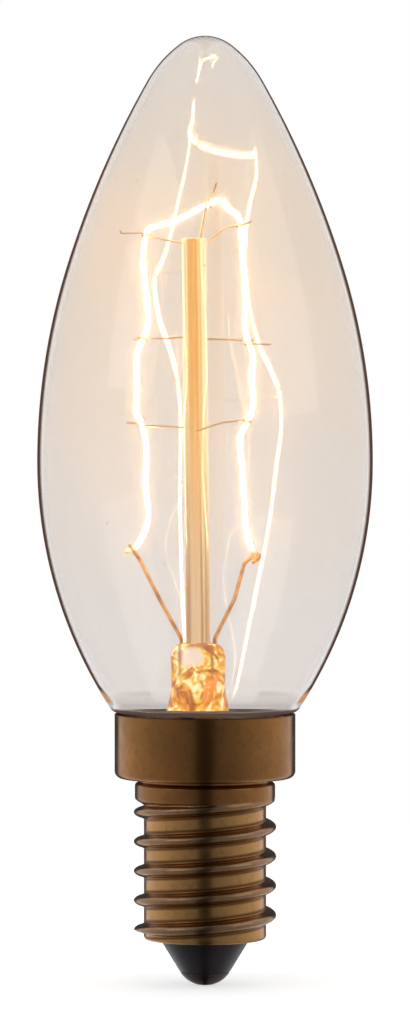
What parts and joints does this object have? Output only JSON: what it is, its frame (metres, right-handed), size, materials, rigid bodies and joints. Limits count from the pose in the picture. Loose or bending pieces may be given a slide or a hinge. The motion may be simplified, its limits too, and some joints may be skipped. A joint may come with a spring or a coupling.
{
  "type": "candle filament bulb",
  "caption": "Clear candle-shaped glass bulb with a glowing wire cage on a glass stem, in a small brass screw cap.",
  "frame": {"origin": "centre of the round contact at the foot of the bulb, on the surface it touches", "axes": "+Z from the contact up to the tip of the glass, -Y towards the viewer of the picture, +X to the viewer's right"},
  "size_m": [0.032, 0.032, 0.0908],
  "materials": {
    "clear_glass": "clear, faintly warm",
    "stem_glass": "clear, amber in its thickness",
    "filament_wire": "glowing tungsten coil",
    "support_wire": "thin drawn wire",
    "lead_wire": "drawn wire, warm",
    "seal_metal": "copper-clad, red in the seal",
    "cap_brass": "aged, satin",
    "cement": "baked, dull",
    "black_glass": "black, satin",
    "solder": "dull grey"
  },
  "bodies": {
    "root": {"glass_envelope": "clear_glass", "stem_flare": "stem_glass", "exhaust_tube": "stem_glass", "arbor_rod": "stem_glass", "top_support_left": "support_wire", "top_support_peak": "support_wire", "top_support_right": "support_wire", "middle_support_left": "support_wire", "middle_support_right": "support_wire", "lower_support_left": "support_wire", "lower_support_right": "support_wire", "filament": "filament_wire", "inner_lead_left": "lead_wire", "inner_lead_right": "lead_wire", "seal_wire_left": "seal_metal", "seal_wire_right": "seal_metal", "outer_lead_shell": "lead_wire", "outer_lead_contact": "lead_wire", "screw_shell": "cap_brass", "basing_cement": "cement", "insulator": "black_glass", "contact_plate": "cap_brass", "contact_solder": "solder", "shell_solder": "solder"}
  },
  "joints": []
}
